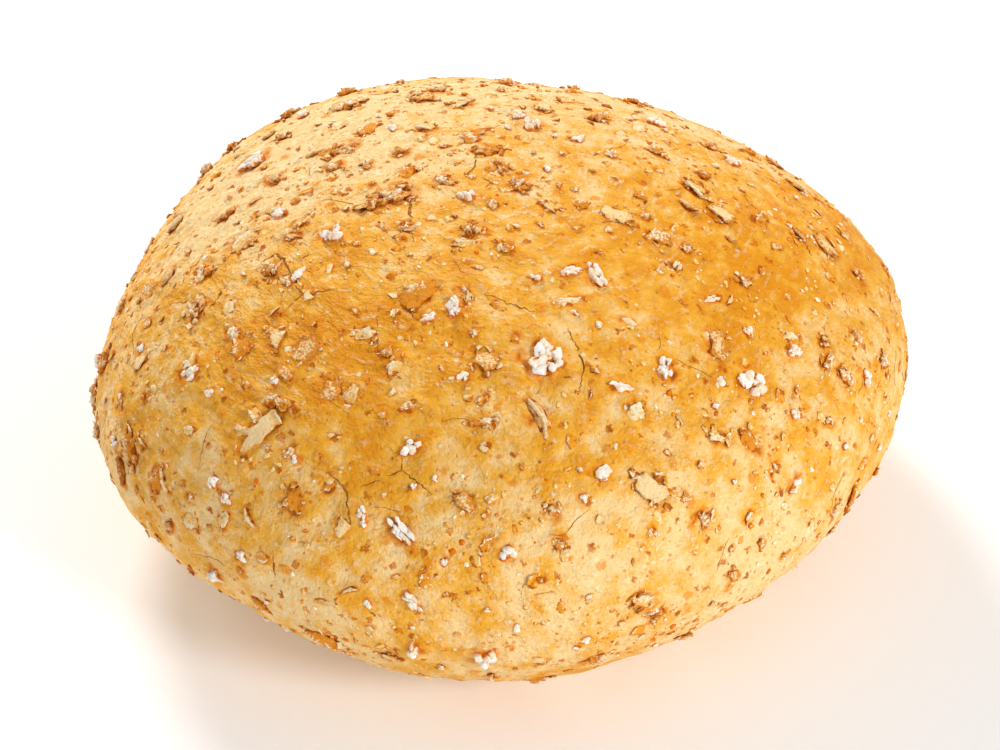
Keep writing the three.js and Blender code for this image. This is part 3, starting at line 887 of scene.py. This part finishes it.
# mould, count, length, how much rarer long ones are, ball, seed, flatness, thinning between drifts
SPRINKLES = {
    "specks": (mould_speck, 5200, (0.3 * MM, 1.1 * MM), 2.4, 1, 4409, 0.3, 0.3),
    "dots": (mould_speck, 800, (0.3 * MM, 0.9 * MM), 2.0, 2, 77123, 0.5, 0.1),
    "scraps": (mould_flake, 640, (0.8 * MM, 2.4 * MM), 1.6, 2, 30211, 0.3, 0.2),
}


def sprinkle(name, mould, count, span, fall, level, seed, flatness, drift):
    """Many small lumps, set into the crust. They thin out between drifts."""
    draw = make_draw(seed)
    heap = Heap(name, *SPRINKLE_LIFT)
    chance = np.random.default_rng(seed)
    for index in range(count):
        way = spiral_way(index, count, SCATTER_JITTER, draw)
        length = between(span, draw() ** fall)
        if noise.noise(bun_point(way) / DRIFT_SIZE) < drift * draw():
            continue
        spot, _, _, _ = crust_tree.find_nearest(bun_point(way))
        axes = standing(way[None], np.array([360 * draw()]))[0]
        ball, faces = BALLS[level]
        shape = fill_box(mould(ball, chance))
        size = np.array((length, length * chance.uniform(*SPRINKLE_SLIMNESS), length * flatness))
        heap.add(shape, faces, size, np.array(spot), axes, draw())
    return heap.build()


for name, settings in SPRINKLES.items():
    grain[name] = sprinkle(name, *settings)

# %% [markdown]
# ## Cracks
# The crust tears in fine lines while it cools. The clear ones are named by the pixels that
# they pass through in the photo. The camera's rays carry those pixels onto the crust, and a
# thin dark thread is laid along them, a little wider in its middle.

# %% Cracks that show in the photo: width in millimetres, then the pixels along each
CRACKS = (
    (0.42, ((262, 262), (276, 254), (283, 258), (290, 272))),
    (0.24, ((290, 272), (302, 295), (288, 308))),
    (0.2, ((302, 295), (332, 290))),
    (0.2, ((210, 308), (225, 287))),
    (0.17, ((175, 303), (188, 300))),
    (0.15, ((401, 455), (402, 470), (360, 487))),
    (0.17, ((402, 470), (432, 495))),
    (0.2, ((330, 475), (345, 487), (352, 525))),
    (0.34, ((410, 190), (410, 215), (413, 242))),
    (0.2, ((477, 148), (475, 165), (462, 180))),
    (0.17, ((568, 328), (584, 365), (578, 395))),
    (0.17, ((484, 294), (535, 311))),
    (0.34, ((793, 232), (803, 240), (812, 256))),
    (0.2, ((273, 550), (275, 578))),
    (0.24, ((450, 490), (465, 512))),
    (0.17, ((398, 300), (418, 320))),
)
CRACK_STEP = 0.4 * MM
CRACK_WANDER = 0.12 * MM
CRACK_PROUD = 0.05 * MM
CRACK_SEED = 611
HAIRLINES = 55
HAIRLINE_WIDTH = 0.08 * MM
HAIRLINE_STEPS = (5, 18)
HAIRLINE_TURN = 0.22
# how blunt a thread is, and how wide its ends stay and how it varies, as shares of its width
TAPER_POWER = 0.6
TAPER_END = 0.15
THREAD_UNEVENNESS = (0.5, 1.3)


# %% Threads on the crust
def on_crust(point):
    """The nearest point of the finished crust, and the way out of it."""
    spot, normal, _, _ = crust_tree.find_nearest(point)
    return np.array(spot), np.array(normal)


def resample(path):
    """The same path in even short steps."""
    legs = np.linalg.norm(np.diff(path, axis=0), axis=1)
    marks = np.concatenate([[0], np.cumsum(legs)])
    stations = np.linspace(0, marks[-1], max(int(marks[-1] / CRACK_STEP), 4))
    return np.stack([np.interp(stations, marks, path[:, axis]) for axis in range(3)], -1)


def thread(line, breadth, chance):
    """A thin tube with four edges along a line on the crust, pointed at both ends."""
    seats = [on_crust(point) for point in line]
    line = np.array([spot for spot, _ in seats])
    out = np.array([normal for _, normal in seats])
    side = unit(np.cross(out, np.gradient(line, axis=0)))
    share = np.linspace(0, 1, len(line))[:, None]
    taper = np.sin(math.pi * share) ** TAPER_POWER + TAPER_END
    width = breadth / 2 * taper * chance.uniform(*THREAD_UNEVENNESS, (len(line), 1))
    edge = line + out * CRACK_PROUD / 2
    rings = [edge + side * width, line + out * CRACK_PROUD, edge - side * width, line - out * width]
    points = np.stack(rings, 1).reshape(-1, 3)
    here = np.arange(len(line) - 1)[:, None] * 4 + np.arange(4)
    ahead = np.arange(len(line) - 1)[:, None] * 4 + (np.arange(4) + 1) % 4
    faces = np.stack([here, here + 4, ahead + 4, ahead], -1).reshape(-1, 4)
    caps = np.array([[0, 1, 2, 3], [3, 2, 1, 0]]) + [[0], [len(points) - 4]]
    return points, np.concatenate([faces, caps])


def stroll(start, steps, chance):
    """A path that wanders over the crust from one point."""
    spot, out = on_crust(start)
    heading = unit(np.cross(out, chance.normal(size=3)))
    path = [spot]
    for _ in range(steps):
        heading = unit(heading + np.cross(out, heading) * chance.normal(scale=HAIRLINE_TURN))
        spot, out = on_crust(spot + heading * CRACK_STEP)
        heading = unit(heading - out * (heading @ out))
        path.append(spot)
    return np.array(path)


# %% All cracks, then hairlines
chance = np.random.default_rng(CRACK_SEED)
threads = []
for breadth, pixels in CRACKS:
    line = resample(np.array([seen_at(crust_tree, x, y)[0] for x, y in pixels]))
    line[1:-1] += chance.normal(scale=CRACK_WANDER, size=line[1:-1].shape)
    threads.append(thread(line, breadth * MM, chance))
draw = make_draw(CRACK_SEED)
for index in range(HAIRLINES):
    start = bun_point(spiral_way(index, HAIRLINES, 4 * SCATTER_JITTER, draw))
    steps = int(between(HAIRLINE_STEPS, draw()))
    threads.append(thread(stroll(start, steps, chance), HAIRLINE_WIDTH, chance))
starts = np.cumsum([0] + [len(points) for points, _ in threads])
crack_faces = np.concatenate([faces + start for (_, faces), start in zip(threads, starts)])
grain["cracks"] = add_mesh("cracks", np.concatenate([points for points, _ in threads]), crack_faces)

# %% [markdown]
# ## Writing finishes as sums
# A finish is a net of nodes. Wiring it by hand hides what it works out, so a small class lets
# a socket be added and multiplied like a number, and each sum makes the node that it needs.

# %% Sockets that can be reckoned with
class Wire:
    """A socket of a finish, which Python's arithmetic turns into Math nodes."""

    def __init__(self, finish, socket):
        self.finish = finish
        self.socket = socket

    def math(self, operation, *values):
        return self.finish.node("ShaderNodeMath", {"operation": operation}, values)

    def __add__(self, other):
        return self.math("ADD", self, other)

    def __sub__(self, other):
        return self.math("SUBTRACT", self, other)

    def __mul__(self, other):
        return self.math("MULTIPLY", self, other)

    def __truediv__(self, other):
        return self.math("DIVIDE", self, other)

    def __rsub__(self, other):
        return self.math("SUBTRACT", other, self)

    def __rtruediv__(self, other):
        return self.math("DIVIDE", other, self)

    __radd__ = __add__
    __rmul__ = __mul__

    def step(self, low, high):
        """0 up to low, 1 from high on, and a soft step between them. The two may be swapped."""
        settings = {"interpolation_type": "SMOOTHSTEP"}
        return self.finish.node("ShaderNodeMapRange", settings, (self, low, high, 0, 1))


def srgb(red, green, blue):
    """A colour read from a screen, as the linear numbers that shaders use."""
    shares = np.array((red, green, blue)) / 255
    linear = np.where(shares <= 0.04045, shares / 12.92, ((shares + 0.055) / 1.055) ** 2.4)
    return (*linear.tolist(), 1)


# %% A finish that is built from sums
# a Mix node has sockets of several types: these are the numbers of those for colours
MIX_SHARE = 0
MIX_FIRST = 6
MIX_SECOND = 7
MIX_RESULT = 2


class Finish:
    """A material that is built from sums of sockets."""

    def __init__(self, name, **constants):
        self.material = bpy.data.materials.new(name)
        self.material.use_nodes = True
        self.tree = self.material.node_tree
        self.shader = self.tree.nodes["Principled BSDF"]
        for socket, value in constants.items():
            self.shader.inputs[socket.replace("_", " ")].default_value = value
        self.place = self.node("ShaderNodeTexCoord", {}, (), "Object")

    def node(self, kind, settings, values, output=0):
        """Adds a node, sets it, fills or links its inputs, and gives one output."""
        made = self.tree.nodes.new(kind)
        for name, setting in settings.items():
            setattr(made, name, setting)
        pairs = values.items() if isinstance(values, dict) else enumerate(values)
        for key, value in pairs:
            self.put(made.inputs[key], value)
        return Wire(self, made.outputs[output])

    def put(self, socket, value):
        if isinstance(value, Wire):
            self.tree.links.new(value.socket, socket)
        else:
            socket.default_value = value

    def field(self, name):
        """A number that was stored with each point of the mesh."""
        return self.node("ShaderNodeAttribute", {"attribute_name": name}, (), "Fac")

    def noise(self, size, detail=3.0, roughness=0.5, shift=(0, 0, 0), place=None):
        place = self.move(place or self.place, shift)
        values = {"Vector": place, "Scale": 1 / size, "Detail": detail, "Roughness": roughness}
        return self.node("ShaderNodeTexNoise", {}, values, "Fac")

    def vector(self, operation, *values, output=0):
        return self.node("ShaderNodeVectorMath", {"operation": operation}, values, output)

    def move(self, place, shift):
        return self.vector("ADD", place, shift)

    def mix(self, share, first, second):
        """A colour between two others."""
        settings = {"data_type": "RGBA", "clamp_factor": True}
        values = {MIX_SHARE: share, MIX_FIRST: first, MIX_SECOND: second}
        return self.node("ShaderNodeMix", settings, values, MIX_RESULT)

    def round_the_bun(self, place, squeeze):
        """The place, squeezed along the way from the crown to the belt: noise there runs round."""
        flat = self.vector("MULTIPLY", place, (1, 1, 0))
        out = self.vector("LENGTH", flat, output="Value")
        height = self.node("ShaderNodeSeparateXYZ", {}, (place,), "Z")
        down = self.node("ShaderNodeCombineXYZ", {}, (0, 0, (out - height) * squeeze))
        return self.move(flat, down)

    def wobble(self, amount, size):
        """The place, pushed about a little, so that spots lose their round edges."""
        push = self.node("ShaderNodeTexNoise", {}, {"Vector": self.place, "Scale": 1 / size}, "Color")
        push = self.vector("SUBTRACT", push, (0.5, 0.5, 0.5))
        return self.move(self.place, self.vector("MULTIPLY", push, (amount,) * 3))

    def spots(self, spacing, radius, rarity, place, softness):
        """Scattered spots: 1 in their middles. Radius and softness are shares of the spacing."""
        values = {"Vector": place, "Scale": 1 / spacing}
        cell = self.node("ShaderNodeTexVoronoi", {}, values, "Distance")
        chance = self.node("ShaderNodeTexVoronoi", {}, values, "Color")
        parts = [self.node("ShaderNodeSeparateColor", {}, (chance,), axis) for axis in (0, 1)]
        reach = (parts[0] * 0.7 + 0.3) * radius
        return (1 - cell / reach).step(0, softness) * (parts[1] - rarity).step(0, 0.1)

    def finish(self, colour, roughness, height):
        """Feeds the colour, the roughness and the relief, in metres, to the shader."""
        bump = self.node("ShaderNodeBump", {}, {"Height": height, "Strength": 1, "Distance": 1}, "Normal")
        self.put(self.shader.inputs["Base Color"], colour)
        self.put(self.shader.inputs["Roughness"], roughness)
        self.put(self.shader.inputs["Normal"], bump)
        print(f"{self.material.name}: a finish of {len(self.tree.nodes)} nodes")
        return self.material


# %% [markdown]
# ## The crust's finish
# The crust isn't one colour. Broad patches run from pale, floury tan to deep gold, and some of them
# partly paint sheen and shade. Over them lie a fine mottle with painted shade in its hollows, painted
# highlights on the crease ridges and painted shade in their grooves, flecks of bran that shine
# through the skin, and cream dots. Bran stains the dough next to it, and painted shade darkens the
# gap beside each piece. Each of these is one layer, and each hides the one below in part. A warmth
# under 0 is pale, and one over 1 is deep gold.

# %% Crust colours
PALE = srgb(255, 216, 150)
GOLD = srgb(249, 179, 52)
DEEP = srgb(236, 152, 22)
# painted shade: the colour of the mottle's hollows and of the creases' grooves
SHADE = srgb(222, 140, 44)
STAIN = srgb(240, 148, 16)
FLECK = srgb(224, 122, 10)
# the dark core of a fleck, and also the painted shade in the gap beside each piece
FLECK_CORE_AND_SHADE = srgb(156, 70, 8)
# cream dots and mottle, and also the painted highlight on the crease ridges
CREAM = srgb(255, 234, 186)

# %% The skin: broad patches, blotches and a fine mottle, with painted shade in its hollows
# each noise has a size, and the first three a contrast: how far they push the warmth up or down
PATCH_SIZE = 13 * MM
PATCH_CONTRAST = 1.9
BLOTCH_SIZE = 3.4 * MM
BLOTCH_CONTRAST = 3.0
CLOUD_SIZE = 1.3 * MM
CLOUD_CONTRAST = 1.8
PORE_SIZE = 0.36 * MM
# between which values of the warmth, and then of the mottle, each colour comes in
GOLD_STEP = (0, 1)
DEEP_STEP = (0.8, 1.6)
CREAM_STEP = (0.72, 0.92)
SHADE_STEP = (0.62, 0.48)


def make_skin(finish, blotch, cloud, pores):
    """The skin's colour, from pale to deep gold with painted shade in the mottle's hollows, and the
    warmth that it comes from.
    """
    patches = finish.noise(PATCH_SIZE, detail=2)
    bake = finish.field("bake") + (patches - 0.5) * PATCH_CONTRAST
    warmth = bake + (blotch - 0.5) * BLOTCH_CONTRAST + (cloud - 0.5) * CLOUD_CONTRAST
    colour = finish.mix(warmth.step(*GOLD_STEP), PALE, GOLD)
    colour = finish.mix(warmth.step(*DEEP_STEP), colour, DEEP)
    mottle = cloud + pores * 0.4
    colour = finish.mix(mottle.step(*CREAM_STEP) * (1.4 - bake) * 0.7, colour, CREAM)
    # painted shade: where the mottle is low, which is also where its bump is hollow, the colour turns to
    # SHADE
    return finish.mix(mottle.step(*SHADE_STEP) * 0.4, colour, SHADE), warmth


# %% Painted highlights and shade along the creases, and stains with painted shade beside the pieces
STREAK_SIZE = 2.4 * MM
STREAK_SQUEEZE = 2.2
RIDGE_STEP = (0.72, 0.86)
GROOVE_STEP = (0.54, 0.44)
# how near the piece a stain begins and is full, its strength, and its colour; the last and darkest step
# is painted shade in the gap next to the piece
STAIN_AND_SHADE_STEPS = ((0.15, 0.5, 0.7, STAIN), (0.5, 0.75, 0.7, FLECK), (0.66, 0.9, 0.6, FLECK_CORE_AND_SHADE))


def add_crease_highlights_and_shade(finish, colour, ridges):
    """Painted highlights on the ridges and painted shade in the grooves, strongest where the dough is
    creased most.
    """
    creased = finish.field("creased")
    # painted highlight on the ridges, then painted shade in the grooves
    colour = finish.mix(ridges.step(*RIDGE_STEP) * creased * 0.6, colour, CREAM)
    return finish.mix(ridges.step(*GROOVE_STEP) * creased * 0.2, colour, SHADE)


def add_stains(finish, colour, cloud):
    """Dough that bran has browned, darkest next to the piece, where the colour is painted shade of the
    gap.
    """
    near = finish.field("stain") + (cloud - 0.5) * 0.8
    for start, full, strength, shade in STAIN_AND_SHADE_STEPS:
        colour = finish.mix(near.step(start, full) * strength, colour, shade)
    return colour


# %% Flecks of bran that shine through the skin
FLECK_DRIFT_SIZE = 7 * MM
SOAK_SPACING = 2.6 * MM
FLECK_SPACING = 1.8 * MM
DUST_SPACING = 0.9 * MM
CREAM_SPACING = 1.7 * MM


def add_flecks(finish, colour, fleck, cloud, drift):
    """Flecks with a dark core, and finer dust between them."""
    colour = finish.mix(fleck * 0.8, colour, FLECK)
    colour = finish.mix(fleck.step(0.9, 1) * cloud.step(0.45, 0.6) * 0.7, colour, FLECK_CORE_AND_SHADE)
    place = finish.wobble(amount=0.6 * MM, size=0.4 * MM)
    dust = finish.spots(DUST_SPACING, radius=0.4, rarity=drift, place=place, softness=0.4)
    return finish.mix(dust * 0.65, colour, FLECK)


# %% All layers of the crust
def make_crust_finish():
    """The layers from the skin up, and the fine relief that goes with them."""
    finish = Finish("crust", Specular_IOR_Level=0.12)
    blotch = finish.noise(BLOTCH_SIZE, detail=3, roughness=0.55)
    cloud = finish.noise(CLOUD_SIZE, detail=4, roughness=0.6, shift=(0.2, 0.4, 0.1))
    pores = finish.noise(PORE_SIZE, detail=2)
    skewed = finish.wobble(amount=3 * MM, size=5 * MM)
    streak = finish.noise(STREAK_SIZE, detail=3, place=finish.round_the_bun(skewed, STREAK_SQUEEZE))
    colour, warmth = make_skin(finish, blotch, cloud, pores)
    # painted highlights and shade along the creases
    colour = add_crease_highlights_and_shade(finish, colour, streak + pores * 0.3)
    ragged = finish.wobble(amount=1.5 * MM, size=0.7 * MM)
    drift = finish.noise(FLECK_DRIFT_SIZE, detail=2, shift=(0.7, 0.1, 0.3))
    soak = finish.spots(SOAK_SPACING, radius=0.42, rarity=drift, place=ragged, softness=0.5)
    # stains, with painted shade in the gap beside each piece
    colour = add_stains(finish, finish.mix(soak * 0.75, colour, STAIN), cloud)
    aside = finish.move(ragged, (0.03, 0.01, 0.02))
    fleck = finish.spots(FLECK_SPACING, radius=0.4, rarity=drift, place=aside, softness=0.4)
    colour = add_flecks(finish, colour, fleck, cloud, drift)
    uneven = finish.wobble(amount=0.6 * MM, size=0.6 * MM)
    cream = finish.spots(CREAM_SPACING, radius=0.26, rarity=0.5, place=uneven, softness=0.5)
    colour = finish.mix(cream * 0.8, colour, CREAM)
    # each layer's share of the relief, in millimetres
    height = pores * 0.12 + cloud * 0.6 + blotch * 0.6 + streak * finish.field("creased") * 0.5
    height = (height + soak * 0.05 + fleck * 0.1 + cream * 0.1) * MM
    return finish.finish(colour, 0.8 - warmth.step(0, 1.3) * 0.25, height)


crust.data.materials.append(make_crust_finish())

# %% [markdown]
# ## The finishes of the pieces
# Popped grain is white at the top and brown low down and in its gaps, which is painted shade. Bran,
# kernels and cracked grain run from tan to dark orange from piece to piece, are brown at the foot
# and in their pits, partly real and partly painted shade, and pale where they broke and at the top,
# partly painted highlight. Husk is peach with browner edges. Two numbers of each mesh, tone and
# lift, steer the mix.

# %% Piece colours
MOTTLE_SIZE = 0.9 * MM
CRUMB_SIZE = 0.35 * MM
# between which values a body turns from dull to bright, the foot into the body, and that into the tip
BRIGHT_STEP = (0.3, 0.7)
BODY_STEP = (0.05, 0.4)
TIP_STEP = (0.75, 1.05)
# the foot, which is partly painted shade, a dull body, a bright body and the tip, which is partly painted
# highlight, then roughness and relief in millimetres
FINISHES = {
    "popped": ((216, 122, 28), (250, 228, 194), (255, 246, 232), (255, 254, 250), 0.8, 0.1),
    "chunk": ((186, 98, 16), (234, 150, 50), (252, 210, 146), (255, 242, 216), 0.7, 0.16),
    "flake": ((184, 90, 6), (234, 148, 40), (251, 198, 114), (255, 236, 196), 0.7, 0.14),
    "kernel": ((152, 70, 4), (208, 124, 40), (236, 180, 108), (250, 222, 174), 0.7, 0.14),
    "oat": ((176, 84, 8), (230, 146, 50), (250, 192, 104), (255, 222, 164), 0.7, 0.2),
    "scraps": ((214, 116, 6), (244, 160, 38), (252, 198, 104), (255, 232, 180), 0.7, 0.1),
    "specks": ((200, 90, 0), (231, 122, 0), (247, 164, 32), (255, 222, 150), 0.7, 0.08),
    "dots": ((230, 150, 50), (250, 212, 140), (254, 232, 186), (255, 248, 230), 0.7, 0.06),
}


def make_grain_finish(name, low, dull, bright, tip, roughness, relief):
    """A dark foot and pits, partly painted shade, a body that differs from piece to piece, and a paler,
    patchy top, partly painted highlight.
    """
    finish = Finish(name, Specular_IOR_Level=0.1)
    tone = finish.field("tone")
    lift = finish.field("lift")
    mottle = finish.noise(MOTTLE_SIZE, detail=4, roughness=0.6)
    crumbs = finish.noise(CRUMB_SIZE, detail=3, roughness=0.6)
    body = finish.mix((tone + (mottle - 0.5) * 1.6).step(*BRIGHT_STEP), dull, bright)
    # partly painted shade: low parts and pits, where the lift is small, take the dark foot colour
    colour = finish.mix((lift * 1.1 + (mottle - 0.5) * 1.8).step(*BODY_STEP), low, body)
    # partly painted highlight: the highest parts turn to the pale tip
    colour = finish.mix((lift + tone * 0.4 + (crumbs - 0.5) * 2.0).step(*TIP_STEP), colour, tip)
    return finish.finish(colour, roughness, (mottle * 2 + crumbs) * relief)


for kind, (*shades, roughness, relief) in FINISHES.items():
    colours = [srgb(*shade) for shade in shades]
    grain[kind].data.materials.append(make_grain_finish(kind, *colours, roughness, relief * MM))

crack_finish = Finish("cracks", Specular_IOR_Level=0.1)
crack_dark = crack_finish.noise(1.5 * MM, detail=2).step(0.3, 0.7)
crack_colour = crack_finish.mix(crack_dark, srgb(120, 70, 26), srgb(190, 124, 58))
grain["cracks"].data.materials.append(crack_finish.finish(crack_colour, 0.9, crack_dark * 0.02 * MM))

# %% [markdown]
# ## A white studio
# The photo has a white surround, one broad light from the back left and a weaker one from the
# front right. Broad lights give soft shades, which bread needs.

# %% Floor
FLOOR_REACH = 3.0
floor_corners = np.array([(-1, -1, 0), (1, -1, 0), (1, 1, 0), (-1, 1, 0)]) * FLOOR_REACH
floor = add_mesh("floor", floor_corners, np.array([[0, 1, 2, 3]]))
floor_finish = Finish("floor", Roughness=0.9, Emission_Strength=0.12, Emission_Color=(1, 1, 1, 1))
floor_noise = floor_finish.noise(0.4, detail=1)
floor_shade = floor_finish.mix(floor_noise, srgb(246, 246, 247), srgb(249, 249, 250))
floor_finish.put(floor_finish.shader.inputs["Base Color"], floor_shade)
floor.data.materials.append(floor_finish.material)

# %% Lamps, and the white light from all round
LAMP_COLOUR = (1, 0.99, 0.97)
# place and width in metres, and power in watts
LAMPS = {
    "back": ((-0.3, 0.66, 0.54), 0.3, 6.0),
    "front": ((0.58, -0.52, 0.45), 0.24, 4.0),
}
FILL = 0.48


def add_light(name, place, size, power):
    """A round lamp that shines at the middle of the roll."""
    lamp = bpy.data.lights.new(name, "AREA")
    lamp.shape = "DISK"
    lamp.size = size
    lamp.energy = power
    lamp.color = LAMP_COLOUR
    light = bpy.data.objects.new(name, lamp)
    bpy.context.scene.collection.objects.link(light)
    light.location = place
    light.rotation_euler = (Vector(CAMERA_AIM) - Vector(place)).to_track_quat("-Z", "Y").to_euler()


for name, settings in LAMPS.items():
    add_light(name, *settings)

world = bpy.data.worlds.new("studio")
world.use_nodes = True
world.node_tree.nodes["Background"].inputs["Color"].default_value = (1, 1, 1, 1)
world.node_tree.nodes["Background"].inputs["Strength"].default_value = FILL
bpy.context.scene.world = world
bpy.context.scene.view_settings.view_transform = "Standard"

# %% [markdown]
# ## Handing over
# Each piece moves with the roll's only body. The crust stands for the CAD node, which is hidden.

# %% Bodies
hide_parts("roll")
for piece in [crust, *grain.values()]:
    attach(piece, "root")
